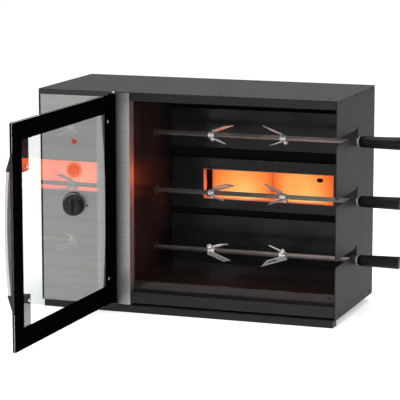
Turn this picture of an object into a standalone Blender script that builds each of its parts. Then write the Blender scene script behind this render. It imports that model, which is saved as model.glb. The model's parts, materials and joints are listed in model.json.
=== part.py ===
"""Countertop gas rotisserie oven with three spits, an infrared burner and a side-hung glass door.

Metres, +Z up, front towards -Y. The origin is the middle of the front plinth's bottom flange,
on the surface that the oven stands on. The door stands open and the tray and spits are in place.
"""
import math

import bmesh
import bpy
from mathutils import Matrix, Vector

# ---------------------------------------------------------------- driving dimensions
GAP = 0.0003                 # between pieces that touch
SHEET = 0.0015               # panel sheet
SIDE_SHEET = 0.002           # right side panel, which carries the spits
LINER = 0.0012               # cavity liner sheet

WIDTH, DEPTH = 0.650, 0.291
PLINTH = 0.015               # height of the plinth and the feet
BODY_TOP = 0.466
LEFT, RIGHT = -WIDTH / 2, WIDTH / 2
FRONT = -0.015               # front plane; the plinth's flange is twice as deep
BACK = FRONT + DEPTH

CAVITY_LEFT = -0.1215        # face of the divider wall inside the cavity
CAVITY_RIGHT = RIGHT - SIDE_SHEET
CAVITY_TOP = 0.4476
POST_LEFT = -0.1605          # brushed hinge post beside the control panel
POST_RETURN = 0.025
FASCIA_BOTTOM = 0.4548       # lip of the top cover above the control panel
SILL_LOW, SILL_HIGH = 0.021, 0.044
LINER_FRONT = FRONT + 0.253  # raised panels of the rear liner
LINER_BACK = FRONT + 0.261   # recessed bands between them

SPIT_Y = FRONT + 0.155
SPIT_PITCH = 0.125
SPIT_Z = [0.113 + SPIT_PITCH * k for k in range(3)]
SPIT_NAMES = ["bottom", "middle", "top"]
BAR_SIDE = 0.007
SOCKET_SIDE = BAR_SIDE + 0.001       # square holes that the bar slides in
BAR_LEFT, BAR_RIGHT = -0.138, 0.3185
JOURNAL_R = 0.0062
SLOT_WIDTH = 0.013
SLOT_RISE = (0.0125, 0.0260)  # horizontal stretch of each slot above the spit's axis
SLOT_TOP = 0.032
COLLAR_R = 0.010
TANG_R = 0.0035                      # end of the bar inside its handle
HANDLE_START, HANDLE_END = 0.3303, 0.4195

MODULE, TEETH, PINION_TEETH = 0.0025, 25, 12
ADDENDUM, DEDENDUM = 0.9, 1.2  # in modules
GEAR_LEFT, GEAR_RIGHT = -0.140, -0.132
HUB_R, HUB_END = 0.011, -0.1180
IDLER_PIN_R = 0.004

FORK_X = (0.006, 0.165)      # hub centres of the left and the right fork
FORK_HUB_R, FORK_HUB_HALF = 0.0072, 0.0065
SCREW_X = 0.002              # the thumbscrew sits this far from the hub's middle, away from the food
SCREW_R = 0.0025
PRONG_WIDTH, PRONG_THICK = 0.011, 0.0018
LONG_PRONG, SHORT_PRONG = 0.0485, 0.034
PRONG_TIP = 0.016            # length of the slanting cut that points a prong
LONG_SLOT, SHORT_SLOT = (0.012, 0.033), (0.010, 0.019)
SLOT_HALF = 0.0018           # half width of the slot along the middle of a prong
PRONG_SPREAD = math.radians(20)
# per spit: bar phase, lean of the fork, twist and start of the long prong, thumbscrew direction
BAR_PHASE = [math.radians(45), math.radians(45), math.radians(45)]
FORK_LEAN = [math.radians(150), math.radians(-30), 0.0]
PRONG_TWIST = [math.radians(-36), math.radians(-25), math.radians(-25)]
PRONG_START = [-0.0095, 0.002, 0.002]
SCREW_TURN = [math.radians(45), math.radians(-135), math.radians(-135)]

DOOR_AXIS = (-0.154, FRONT - 0.0065)
DOOR_OPEN = math.radians(91)
DOOR_WIDTH, DOOR_LOW, DOOR_HIGH = 0.4795, 0.0207, 0.4617
GLASS_IN, GLASS_OUT = 0.0038, 0.0082
EAR_LOW, EAR_HIGH = 0.0179, 0.4622    # lower faces of the post's two hinge ears
EAR_THICK = 0.002
HINGE_PIN_R = 0.0024
HANDLE_S, HANDLE_HALF = 0.422, 0.012  # handle's place along the door, and half the bar's width
CAP_HALF, CAP_TOP_SHARE = 0.0205, 0.66  # half the end caps' width on the glass; its share at the bar
HANDLE_MID_Z = (DOOR_LOW + DOOR_HIGH) / 2
CAP_NEAR, CAP_FAR = 0.120, 0.192      # the end caps' reach from the door's middle

TRAY_FRONT, TRAY_BACK = FRONT + 0.020, FRONT + 0.2520
TRAY_LOW, TRAY_HIGH = 0.0445, 0.0650
FLOOR_TOP = TRAY_LOW - GAP

BURNER_X = (-0.0475, 0.2485)          # opening in the liner
BURNER_Z = (0.2068, 0.2735)
BURNER_FACE = FRONT + 0.2712
PLENUM_BACK = FRONT + 0.2885
TILE_LEFT, TILE_LENGTH, TILE_HEIGHT, TILE_DEPTH = -0.033, 0.1378, 0.070, 0.009
VENTURI_Y, VENTURI_Z, VENTURI_R = FRONT + 0.2775, 0.2405, 0.009
VENTURI_MOUTH = -0.172
ELECTRODE_X = 0.2155

CONTROL_X = -0.2485
KNOB_Z, BUTTON_Z, LAMP_Z = 0.2225, 0.2966, 0.3572
KNOB_R, KNOB_DEPTH, KNOB_BACK = 0.0215, 0.022, FRONT - 0.0045
STEM_R, BUTTON_R, BEZEL_R, LAMP_R = 0.0038, 0.011, 0.0165, 0.006

MOTOR_Z = SPIT_Z[0] + SPIT_PITCH / 2
MOTOR_Y = SPIT_Y + MODULE * (TEETH + PINION_TEETH) / 2
INLET_X, INLET_Z = -0.262, 0.080
GLAND_X, GLAND_Z = -0.296, 0.060

SMOOTH_ANGLE = math.radians(35)       # round pieces stay sharp above this

# name: colour, metallic, roughness
FINISHES = {
    "dark_paint": ((0.075, 0.075, 0.078), 0.1, 0.5),
    "black_enamel": ((0.012, 0.012, 0.013), 0.0, 0.12),
    "brushed_steel": ((0.45, 0.44, 0.42), 1.0, 0.38),
    "galvanised": ((0.36, 0.37, 0.38), 1.0, 0.5),
    "burner_steel": ((0.30, 0.28, 0.26), 1.0, 0.45),
    "chrome": ((0.75, 0.75, 0.76), 1.0, 0.15),
    "black_plastic": ((0.012, 0.012, 0.012), 0.0, 0.4),
    "handle_plastic": ((0.012, 0.012, 0.012), 0.0, 0.32),
    "rubber": ((0.02, 0.02, 0.02), 0.0, 0.8),
    "brass": ((0.6, 0.42, 0.16), 1.0, 0.3),
    "ceramic": ((0.95, 0.42, 0.12), 0.0, 0.8),
    "porcelain": ((0.75, 0.73, 0.68), 0.0, 0.25),
    "door_glass": ((0.85, 0.9, 0.9), 0.0, 0.03),
    "red_lens": ((0.7, 0.02, 0.02), 0.0, 0.2),
    "nylon": ((0.7, 0.68, 0.6), 0.0, 0.5),
}


# ---------------------------------------------------------------- helpers
def make_object(name, bm, finish):
    bmesh.ops.recalc_face_normals(bm, faces=bm.faces)
    mesh = bpy.data.meshes.new(name)
    bm.to_mesh(mesh)
    bm.free()
    obj = bpy.data.objects.new(name, mesh)
    bpy.context.scene.collection.objects.link(obj)
    if finish:
        mesh.materials.append(make_material(name, *FINISHES[finish]))
    return obj


def make_material(name, colour, metallic, roughness):
    material = bpy.data.materials.new(name)
    material.use_nodes = True
    shader = material.node_tree.nodes["Principled BSDF"]
    shader.inputs["Base Color"].default_value = (*colour, 1.0)
    shader.inputs["Metallic"].default_value = metallic
    shader.inputs["Roughness"].default_value = roughness
    material.diffuse_color = (*colour, 1.0)
    return material


def box(name, low, high, finish=None):
    """A box between two corners, with its origin in its middle."""
    bm = bmesh.new()
    bmesh.ops.create_cube(bm, size=1.0)
    size = [b - a for a, b in zip(low, high)]
    bmesh.ops.scale(bm, vec=size, verts=bm.verts)
    obj = make_object(name, bm, finish)
    obj.location = [(a + b) / 2 for a, b in zip(low, high)]
    return obj


def prism(name, outline, axis, start, end, finish=None):
    """Extrude an outline along an axis. The outline holds the other two coordinates in X, Y, Z order."""
    along = "XYZ".index(axis)

    def place(point, value):
        point = list(point)
        point.insert(along, value)
        return point

    bm = bmesh.new()
    face = bm.faces.new([bm.verts.new(place(p, start)) for p in outline])
    grown = bmesh.ops.extrude_face_region(bm, geom=[face])["geom"]
    shift = Vector(place((0.0, 0.0), end - start))
    bmesh.ops.translate(bm, vec=shift, verts=[v for v in grown if isinstance(v, bmesh.types.BMVert)])
    return make_object(name, bm, finish)


def lathe(name, profile, axis, centre, finish=None, sides=24, phase=0.0, smooth=True):
    """Turn (place along the axis, radius) points around an axis through centre, which is the
    object's origin. The ends are closed."""
    turn = {"X": Matrix(((0, 0, 1), (1, 0, 0), (0, 1, 0))),
            "Y": Matrix(((0, 1, 0), (0, 0, 1), (1, 0, 0))),
            "Z": Matrix(((1, 0, 0), (0, 1, 0), (0, 0, 1)))}[axis]
    bm = bmesh.new()
    rings = []
    for along, radius in profile:
        count = sides if radius > 0 else 1
        ring = []
        for k in range(count):
            angle = phase + 2 * math.pi * k / sides
            local = Vector((radius * math.cos(angle), radius * math.sin(angle), along))
            ring.append(bm.verts.new(turn @ local))
        rings.append(ring)
    for low, high in zip(rings, rings[1:]):
        for k in range(sides):
            corners = [low[k % len(low)], low[(k + 1) % len(low)],
                       high[(k + 1) % len(high)], high[k % len(high)]]
            unique = list(dict.fromkeys(corners))
            if len(unique) > 2:
                bm.faces.new(unique)
    for ring in (rings[0], rings[-1]):
        if len(ring) > 1:
            bm.faces.new(ring)
    obj = make_object(name, bm, finish)
    obj.location = centre
    if smooth:
        obj.data.shade_smooth()
        obj.data.set_sharp_from_angle(angle=SMOOTH_ANGLE)
    return obj


def rod(name, axis, centre, start, end, radius, finish=None, sides=24):
    return lathe(name, [(start, radius), (end, radius)], axis, centre, finish, sides)


def tube_along(name, points, radii, finish, sides=12):
    """A closed round bar swept through points, with its own radius at each."""
    points = [Vector(p) for p in points]
    bm = bmesh.new()
    rings = []
    side = Vector((0, 0, 1))
    for k, point in enumerate(points):
        ahead = points[min(k + 1, len(points) - 1)] - points[max(k - 1, 0)]
        ahead.normalize()
        side = (side - side.dot(ahead) * ahead)
        if side.length < 0.1:
            side = Vector((1, 0, 0)).cross(ahead)
        side.normalize()
        other = ahead.cross(side)
        angles = [2 * math.pi * j / sides for j in range(sides)]
        rings.append([bm.verts.new(point + radii[k] * (math.cos(a) * side + math.sin(a) * other))
                      for a in angles])
    for low, high in zip(rings, rings[1:]):
        for j in range(sides):
            bm.faces.new([low[j], low[(j + 1) % sides], high[(j + 1) % sides], high[j]])
    bm.faces.new(rings[0])
    bm.faces.new(rings[-1])
    obj = make_object(name, bm, finish)
    obj.data.shade_smooth()
    obj.data.set_sharp_from_angle(angle=SMOOTH_ANGLE)
    return obj


def rounded_route(corners, bend, steps=4):
    """Straight runs between corners, with each inner corner turned into a quadratic curve."""
    corners = [Vector(c) for c in corners]
    route = [corners[0]]
    for before, corner, after in zip(corners, corners[1:], corners[2:]):
        start = corner + (before - corner).normalized() * bend
        end = corner + (after - corner).normalized() * bend
        for k in range(steps + 1):
            t = k / steps
            route.append((1 - t) ** 2 * start + 2 * t * (1 - t) * corner + t ** 2 * end)
    route.append(corners[-1])
    return route


def boolean(obj, tool, operation):
    modifier = obj.modifiers.new(operation.lower(), "BOOLEAN")
    modifier.operation = operation
    modifier.object = tool
    modifier.solver = "EXACT"
    tool.hide_render = True
    tool.display_type = "WIRE"


def cut(obj, *tools):
    """Cut with tools that don't touch each other, joined into one cutter."""
    cutter = tools[0]
    if len(tools) > 1:
        bm = bmesh.new()
        for tool in tools:
            tool.data.transform(Matrix.Translation(tool.location))
            bm.from_mesh(tool.data)
        bm.to_mesh(cutter.data)
        bm.free()
        cutter.location = (0, 0, 0)
        for tool in tools[1:]:
            bpy.data.objects.remove(tool, do_unlink=True)
    boolean(obj, cutter, "DIFFERENCE")


def add(obj, *tools):
    for tool in tools:
        boolean(obj, tool, "UNION")


def hole(name, axis, centre, reach, radius, sides=24):
    """A cylinder for cutting, centred on a point and longer than the wall it cuts."""
    return rod(f"{name}_cutter", axis, centre, -reach, reach, radius, None, sides)


def arc(centre, radius, start, end, steps):
    """Points on a circle in a plane, angles in degrees."""
    angles = [math.radians(start + (end - start) * k / steps) for k in range(steps + 1)]
    return [(centre[0] + radius * math.cos(a), centre[1] + radius * math.sin(a)) for a in angles]


# ---------------------------------------------------------------- cabinet
def build_base():
    box("base_plate", (LEFT + SHEET + GAP, FRONT + SHEET + GAP, PLINTH),
        (CAVITY_RIGHT - GAP, BACK - SHEET - GAP, PLINTH + SHEET), "galvanised")
    high = PLINTH - GAP
    back = -FRONT
    outline = [(FRONT, 0), (back, 0), (back, SHEET), (FRONT + SHEET, SHEET),
               (FRONT + SHEET, high - SHEET), (back, high - SHEET), (back, high), (FRONT, high)]
    prism("front_plinth", outline, "X", LEFT + 0.005, RIGHT - 0.005, "dark_paint")
    for side, x in (("left", LEFT + 0.055), ("right", RIGHT - 0.055)):
        profile = [(0.0, 0.013), (0.002, 0.014), (PLINTH - GAP, 0.014)]
        lathe(f"rear_foot_{side}", profile, "Z", (x, BACK - 0.045, 0), "rubber")


def build_left_panel():
    high = BODY_TOP - SHEET - GAP
    outline = [(LEFT, FRONT), (LEFT + 0.004, FRONT), (LEFT + 0.004, FRONT + SHEET),
               (LEFT + SHEET, FRONT + SHEET), (LEFT + SHEET, BACK), (LEFT, BACK)]
    panel = prism("left_side_panel", outline, "Z", PLINTH, high, "dark_paint")
    heights = [0.340 + 0.012 * k for k in range(6)]
    notch = box("lip_notch_cutter", (LEFT - 0.01, FRONT - 0.01, FASCIA_BOTTOM - GAP),
                (LEFT + 0.01, FRONT + SHEET + GAP, BODY_TOP))
    cut(panel, notch, *[box(f"left_vent_{k}_cutter", (LEFT - 0.01, FRONT + 0.11, z),
                     (LEFT + 0.01, FRONT + 0.19, z + 0.004)) for k, z in enumerate(heights)])


def slot_outline(z):
    """L-shaped slot: in from the front edge, back to the spit's place, up a little and down to rest."""
    y, half = SPIT_Y, SLOT_WIDTH / 2
    low, high = z + SLOT_RISE[0], z + SLOT_RISE[1]
    corner = 0.010
    return [(FRONT - 0.01, low - corner), (FRONT, low - corner)] + \
        arc((FRONT + corner, low - corner), corner, 180, 90, 6)[1:] + \
        [(y - half, low), (y - half, z)] + arc((y, z), half, 180, 360, 12)[1:] + \
        [(y + half, z + SLOT_TOP - half)] + arc((y, z + SLOT_TOP - half), half, 0, 180, 12)[1:] + \
        [(y - half, high), (FRONT - 0.01, high)]


def build_right_panel():
    panel = box("right_side_panel", (CAVITY_RIGHT, FRONT, PLINTH),
                (RIGHT, BACK, BODY_TOP - SHEET - GAP), "dark_paint")
    cut(panel, *[prism(f"slot_{name}_cutter", slot_outline(z), "X", RIGHT - 0.01, RIGHT + 0.01)
                 for name, z in zip(SPIT_NAMES, SPIT_Z)])


def build_rear_panel():
    panel = box("rear_panel", (LEFT + SHEET + GAP, BACK - SHEET, PLINTH + SHEET + GAP),
                (CAVITY_RIGHT - GAP, BACK, BODY_TOP - SHEET - GAP), "dark_paint")
    places = [-0.04 + 0.032 * k for k in range(9)]
    vents = [box(f"rear_vent_{k}_cutter", (x, BACK - 0.01, 0.34), (x + 0.012, BACK + 0.01, 0.40))
             for k, x in enumerate(places)]
    cut(panel, hole("inlet_hole", "Y", (INLET_X, BACK, INLET_Z), 0.01, 0.008),
        hole("gland_hole", "Y", (GLAND_X, BACK, GLAND_Z), 0.01, 0.0073), *vents)


def build_top_cover():
    plate = box("top_cover", (LEFT, FRONT, BODY_TOP - SHEET), (RIGHT, BACK, BODY_TOP), "dark_paint")
    add(plate, box("cover_lip_tool", (LEFT, FRONT, FASCIA_BOTTOM),
                   (POST_LEFT - GAP, FRONT + SHEET, BODY_TOP)))


def build_control_panel():
    panel = box("control_panel", (LEFT + 0.004 + GAP, FRONT, PLINTH + GAP),
                (POST_LEFT - GAP, FRONT + SHEET, FASCIA_BOTTOM - GAP), "brushed_steel")
    cut(panel, hole("stem_hole", "Y", (CONTROL_X, FRONT, KNOB_Z), 0.01, 0.009),
        hole("button_hole", "Y", (CONTROL_X, FRONT, BUTTON_Z), 0.01, 0.0133),
        hole("lamp_hole", "Y", (CONTROL_X, FRONT, LAMP_Z), 0.01, 0.0053))


def build_hinge_post():
    """Folded channel beside the door, with an ear at each end that holds a hinge pin."""
    left, right = POST_LEFT, CAVITY_LEFT
    outline = [(left, FRONT), (right, FRONT), (right, FRONT + POST_RETURN),
               (right - SHEET, FRONT + POST_RETURN), (right - SHEET, FRONT + SHEET),
               (left + SHEET, FRONT + SHEET), (left + SHEET, FRONT + 0.015), (left, FRONT + 0.015)]
    post = prism("hinge_post", outline, "Z", PLINTH + SHEET + GAP, BODY_TOP - SHEET - GAP, "brushed_steel")
    x, y = DOOR_AXIS
    for name, low in (("lower", EAR_LOW), ("upper", EAR_HIGH)):
        add(post, box(f"ear_{name}_tool", (x - 0.0062, y - 0.0055, low),
                      (x + 0.0062, FRONT + SHEET * 0.6, low + EAR_THICK)))
        cut(post, hole(f"ear_{name}_hole", "Z", (x, y, low), 0.006, HINGE_PIN_R + 0.0003, 16))


def build_sill():
    y = FRONT + 0.018
    outline = [(FRONT, SILL_LOW), (FRONT + SHEET, SILL_LOW), (FRONT + SHEET, SILL_HIGH - SHEET),
               (y, SILL_HIGH - SHEET), (y, SILL_HIGH), (FRONT, SILL_HIGH)]
    prism("sill_rail", outline, "X", CAVITY_LEFT + GAP, CAVITY_RIGHT - GAP, "dark_paint")


# ---------------------------------------------------------------- cavity
def build_divider():
    wall = box("divider_wall", (CAVITY_LEFT - SHEET, FRONT + POST_RETURN + GAP, PLINTH + SHEET + GAP),
               (CAVITY_LEFT, BACK - SHEET - GAP, CAVITY_TOP - GAP), "black_enamel")
    x, reach = CAVITY_LEFT, 0.01
    hubs = [hole(f"hub_{name}", "X", (x, SPIT_Y, z), reach, HUB_R + 0.0004)
            for name, z in zip(SPIT_NAMES, SPIT_Z)]
    pins = [hole(f"idler_{k}", "X", (x, SPIT_Y, z + SPIT_PITCH / 2), reach, IDLER_PIN_R + 0.0003, 16)
            for k, z in enumerate(SPIT_Z[:2])]
    cut(wall, hole("venturi", "X", (x, VENTURI_Y, VENTURI_Z), reach, VENTURI_R + 0.0008), *hubs, *pins)


def build_ceiling():
    """Folded sheet: the fascia above the cavity's mouth, turned back as the cavity's ceiling."""
    outline = [(FRONT, CAVITY_TOP), (BACK - SHEET - GAP, CAVITY_TOP),
               (BACK - SHEET - GAP, CAVITY_TOP + LINER), (FRONT + SHEET, CAVITY_TOP + LINER),
               (FRONT + SHEET, BODY_TOP - SHEET - GAP), (FRONT, BODY_TOP - SHEET - GAP)]
    prism("cavity_ceiling", outline, "X", CAVITY_LEFT + GAP, CAVITY_RIGHT - GAP, "dark_paint")


def build_floor():
    box("cavity_floor", (CAVITY_LEFT + GAP, FRONT + 0.018 + GAP, FLOOR_TOP - SHEET),
        (CAVITY_RIGHT - GAP, LINER_FRONT - GAP, FLOOR_TOP), "black_enamel")


def build_rear_liner():
    """Folded rear wall: raised panels at LINER_FRONT with recessed bands between them."""
    steps = [(0.017 + GAP, 1), (0.171, 0), (0.186, 1), (0.297, 0), (0.320, 1), (0.405, 0)]
    ends = [low for low, _ in steps[1:]] + [CAVITY_TOP - GAP]
    front, back = [], []
    for (low, raised), high in zip(steps, ends):
        y = LINER_FRONT if raised else LINER_BACK
        inset = LINER if raised else 0.0
        front += [(y, low), (y, high)]
        back += [(y + LINER, low + inset), (y + LINER, high - inset)]
    back[0] = (back[0][0], steps[0][0])
    for k in range(1, len(steps)):
        if steps[k][1]:
            continue
        back[2 * k] = (back[2 * k][0], steps[k][0] - LINER)
        if k + 1 < len(steps):
            back[2 * k + 1] = (back[2 * k + 1][0], steps[k + 1][0] + LINER)
    liner = prism("rear_liner", front + back[::-1], "X", CAVITY_LEFT + GAP, CAVITY_RIGHT - GAP,
                  "black_enamel")
    cut(liner, box("burner_opening_cutter", (BURNER_X[0], LINER_FRONT - 0.01, BURNER_Z[0]),
                   (BURNER_X[1], LINER_BACK + 0.01, BURNER_Z[1])))


def build_tray():
    """Pressed drip tray: low front with a turned lip, and a hole to hang it by."""
    wall = LINER
    left, right = CAVITY_LEFT + 0.002, CAVITY_RIGHT - 0.002
    tray = box("drip_tray", (left, TRAY_FRONT, TRAY_LOW), (right, TRAY_BACK, TRAY_HIGH), "black_enamel")
    cut(tray, box("tray_inside_cutter", (left + wall, TRAY_FRONT + wall, TRAY_LOW + wall),
                  (right - wall, TRAY_BACK - wall, TRAY_HIGH + 0.01)))
    lip_outline = [(TRAY_FRONT + wall / 2, TRAY_HIGH - wall), (TRAY_FRONT + 0.007, TRAY_HIGH - wall),
                   (TRAY_FRONT + 0.007, TRAY_HIGH), (TRAY_FRONT + wall / 2, TRAY_HIGH)]
    add(tray, prism("tray_lip_tool", lip_outline, "X", left + wall / 2, right - wall / 2))
    cut(tray, box("tray_hang_cutter", (right - 0.018, TRAY_FRONT + 0.0030, TRAY_LOW + 0.010),
                  (right - 0.010, TRAY_FRONT + 0.0055, TRAY_HIGH + 0.01)))


# ---------------------------------------------------------------- burner and gas
def build_burner():
    left, right = BURNER_X[0] + GAP, BURNER_X[1] - GAP
    low, high = BURNER_Z[0] + GAP, BURNER_Z[1] - GAP
    sleeve = box("burner_shroud", (left, LINER_FRONT - 0.001, low), (right, BURNER_FACE - GAP, high),
                 "burner_steel")
    cut(sleeve, box("sleeve_cutter", (left + LINER, LINER_FRONT - 0.01, low + LINER),
                    (right - LINER, BURNER_FACE + 0.01, high - LINER)))

    middle = VENTURI_Z
    frame_low, frame_high = middle - 0.0425, middle + 0.0425
    body = box("burner_body", (BURNER_X[0] - 0.0045, BURNER_FACE, frame_low),
               (BURNER_X[1] + 0.0045, PLENUM_BACK, frame_high), "burner_steel")
    tile_low, tile_high = middle - TILE_HEIGHT / 2, middle + TILE_HEIGHT / 2
    tiles_right = TILE_LEFT + 2 * TILE_LENGTH + GAP
    add(body, rod("venturi_tool", "X", (0, VENTURI_Y, VENTURI_Z), VENTURI_MOUTH,
                  BURNER_X[0] - 0.0025, VENTURI_R))
    cut(body, box("plenum_cutter", (TILE_LEFT - GAP, BURNER_FACE - 0.01, tile_low - GAP),
                  (tiles_right + GAP, PLENUM_BACK - SHEET, tile_high + GAP)))
    cut(body, rod("venturi_bore_cutter", "X", (0, VENTURI_Y, VENTURI_Z), VENTURI_MOUTH - 0.01,
                  TILE_LEFT + 0.01, VENTURI_R - 0.0015))
    for k, name in enumerate(("left", "right")):
        start = TILE_LEFT + k * (TILE_LENGTH + GAP)
        box(f"ceramic_tile_{name}", (start, BURNER_FACE + 0.0005, tile_low),
            (start + TILE_LENGTH, BURNER_FACE + TILE_DEPTH, tile_high), "ceramic")
    build_electrode(high - LINER)


def build_electrode(top):
    """Porcelain spark electrode that hangs from the sleeve's top, in front of the right tile."""
    tip = top - 0.016
    profile = [(tip - 0.008, 0.0008), (tip, 0.0009), (tip, 0.0028), (top - 0.003, 0.0034),
               (top - GAP, 0.0034)]
    lathe("ignition_electrode", profile, "Z", (ELECTRODE_X, BURNER_FACE - 0.0085, 0), "porcelain", 12)


def build_gas_line():
    x, z = CONTROL_X, KNOB_Z
    valve = box("gas_valve", (x - 0.018, FRONT + 0.020, z - 0.022), (x + 0.018, FRONT + 0.058, z + 0.016),
                "brass")
    add(valve, rod("valve_boss_tool", "Y", (x, 0, z), FRONT + 0.004, FRONT + 0.022, 0.0085))
    cut(valve, rod("valve_bore_cutter", "Y", (x, 0, z), FRONT - 0.01, FRONT + 0.034, STEM_R + 0.0004))
    nozzle_x = VENTURI_MOUTH - 0.004
    outlet = [(x + 0.008, FRONT + 0.058 + GAP, z), (x + 0.008, FRONT + 0.110, z),
              (x + 0.008, VENTURI_Y, VENTURI_Z), (nozzle_x, VENTURI_Y, VENTURI_Z)]
    route = rounded_route(outlet, 0.022)
    tube_along("burner_pipe", route, [0.004] * (len(route) - 1) + [0.0055], "brass")
    inlet = [(x, FRONT + 0.040, z - 0.022 - GAP), (x, FRONT + 0.040, INLET_Z),
             (INLET_X, FRONT + 0.120, INLET_Z), (INLET_X, BACK + 0.002, INLET_Z)]
    route = rounded_route(inlet, 0.022)
    barbs = [0.004, 0.008, 0.011, 0.015, 0.018, 0.022]
    radii = [0.005] * len(route) + [0.0072, 0.0055, 0.0072, 0.0055, 0.0072, 0.0045]
    route += [Vector((INLET_X, BACK + 0.002 + barb, INLET_Z)) for barb in barbs]
    tube_along("inlet_pipe", route, radii, "brass")


def build_gland():
    profile = [(BACK - 0.010, 0.003), (BACK - 0.010, 0.007), (BACK + GAP, 0.007), (BACK + GAP, 0.010),
               (BACK + 0.005, 0.010), (BACK + 0.013, 0.007), (BACK + 0.013, 0.003)]
    gland = lathe("cable_gland", profile, "Y", (GLAND_X, 0, GLAND_Z), "black_plastic", 20)
    cut(gland, hole("gland_bore", "Y", (GLAND_X, BACK, GLAND_Z), 0.03, 0.0036, 16))


# ---------------------------------------------------------------- controls
def build_controls():
    x, z = CONTROL_X, KNOB_Z
    rod("valve_stem", "Y", (x, 0, z), KNOB_BACK - 0.011, FRONT + 0.028, STEM_R, "chrome")
    front = KNOB_BACK - KNOB_DEPTH
    profile = [(KNOB_BACK, KNOB_R), (KNOB_BACK - 0.004, KNOB_R + 0.001), (KNOB_BACK - 0.006, KNOB_R - 0.001),
               (front + 0.010, KNOB_R - 0.0025), (front + 0.0085, KNOB_R - 0.004)]
    knob = lathe("control_knob", profile, "Y", (x, 0, z), "black_plastic", 40)
    grip = box("knob_grip_tool", (x - 0.0055, front, z - KNOB_R + 0.002),
               (x + 0.0055, KNOB_BACK - 0.008, z + KNOB_R - 0.002))
    add(knob, grip)
    cut(knob, rod("knob_bore_cutter", "Y", (x, 0, z), KNOB_BACK - 0.0125, KNOB_BACK + 0.01, STEM_R + GAP))

    z = BUTTON_Z
    profile = [(FRONT - 0.002, BEZEL_R - 0.001), (FRONT - GAP, BEZEL_R), (FRONT - GAP, 0.013),
               (FRONT + 0.034, 0.013)]
    bezel = lathe("igniter_body", profile, "Y", (x, 0, z), "black_plastic", 32)
    cut(bezel, rod("igniter_bore_cutter", "Y", (x, 0, z), FRONT - 0.01, FRONT + 0.026, BUTTON_R + 0.0004))
    profile = [(FRONT - 0.0075, 0), (FRONT - 0.0072, BUTTON_R - 0.002), (FRONT - 0.0062, BUTTON_R - 0.0004),
               (FRONT - 0.005, BUTTON_R), (FRONT + 0.016, BUTTON_R)]
    lathe("ignition_button", profile, "Y", (x, 0, z), "black_plastic", 32)

    profile = [(FRONT - 0.0040, 0), (FRONT - 0.0036, 0.0025), (FRONT - 0.0024, 0.0045),
               (FRONT - GAP, LAMP_R), (FRONT - GAP, 0.005), (FRONT + 0.018, 0.005)]
    lathe("pilot_lamp", profile, "Y", (x, 0, LAMP_Z), "red_lens", 24)


# ---------------------------------------------------------------- drive
def gear_outline(teeth, phase):
    pitch_r = MODULE * teeth / 2
    tip_r, root_r = pitch_r + ADDENDUM * MODULE, pitch_r - DEDENDUM * MODULE
    step = 2 * math.pi / teeth
    points = []
    for k in range(teeth):
        middle = phase + k * step
        for radius, share in ((root_r, -0.31), (tip_r, -0.11), (tip_r, 0.11), (root_r, 0.31)):
            angle = middle + share * step
            points.append((radius * math.cos(angle), radius * math.sin(angle)))
    return points


def make_gear(name, y, z, teeth, phase, finish):
    gear = prism(name, gear_outline(teeth, phase), "X", GEAR_LEFT, GEAR_RIGHT, finish)
    gear.location = (0, y, z)
    return gear


def build_drive():
    up = math.radians(90)
    for name, z in zip(SPIT_NAMES, SPIT_Z):
        gear = make_gear(f"drive_gear_{name}", SPIT_Y, z, TEETH, up, "nylon")
        add(gear, rod(f"hub_{name}_tool", "X", (0, SPIT_Y, z), GEAR_LEFT - 0.003, HUB_END, HUB_R))
        half_diagonal = SOCKET_SIDE / math.sqrt(2)
        cut(gear, lathe(f"socket_{name}_cutter", [(GEAR_LEFT - 0.01, half_diagonal),
                                                  (HUB_END + 0.01, half_diagonal)],
                        "X", (0, SPIT_Y, z), None, 4, up / 2 + BAR_PHASE[SPIT_NAMES.index(name)], False))
    for name, z in zip(("lower", "upper"), SPIT_Z):
        gear = make_gear(f"idler_gear_{name}", SPIT_Y, z + SPIT_PITCH / 2, TEETH, up, "nylon")
        add(gear, rod(f"idler_{name}_pin_tool", "X", (0, SPIT_Y, z + SPIT_PITCH / 2),
                      GEAR_LEFT + 0.001, CAVITY_LEFT - 0.0002, IDLER_PIN_R, None, 16))
    step, pinion_step = 2 * math.pi / TEETH, 2 * math.pi / PINION_TEETH
    lead = up / step % 1.0
    phase = math.pi + (0.5 - lead) * pinion_step
    pinion = make_gear("motor_pinion", MOTOR_Y, MOTOR_Z, PINION_TEETH, phase, "nylon")
    add(pinion, rod("pinion_shaft_tool", "X", (0, MOTOR_Y, MOTOR_Z), GEAR_LEFT - 0.020,
                    GEAR_LEFT + 0.001, 0.003, None, 16))


def build_motor():
    """Synchronous gear motor on its own bracket, which stands on the base plate."""
    face = GEAR_LEFT - 0.003
    motor = rod("drive_motor", "X", (0, MOTOR_Y, MOTOR_Z), face - 0.024, face, 0.032, "galvanised", 32)
    add(motor, rod("motor_can_tool", "X", (0, MOTOR_Y + 0.006, MOTOR_Z), face - 0.052, face - 0.023, 0.026))
    low = PLINTH + SHEET + GAP
    add(motor, box("bracket_leg_tool", (face - 0.004, MOTOR_Y - 0.020, low),
                   (face - 0.001, MOTOR_Y + 0.020, MOTOR_Z)))
    add(motor, box("bracket_foot_tool", (face - 0.034, MOTOR_Y - 0.020, low),
                   (face - 0.001, MOTOR_Y + 0.020, low + 0.003)))
    cut(motor, rod("motor_bore_cutter", "X", (0, MOTOR_Y, MOTOR_Z), face - 0.019, face + 0.01,
                   0.0033, None, 16))


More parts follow.
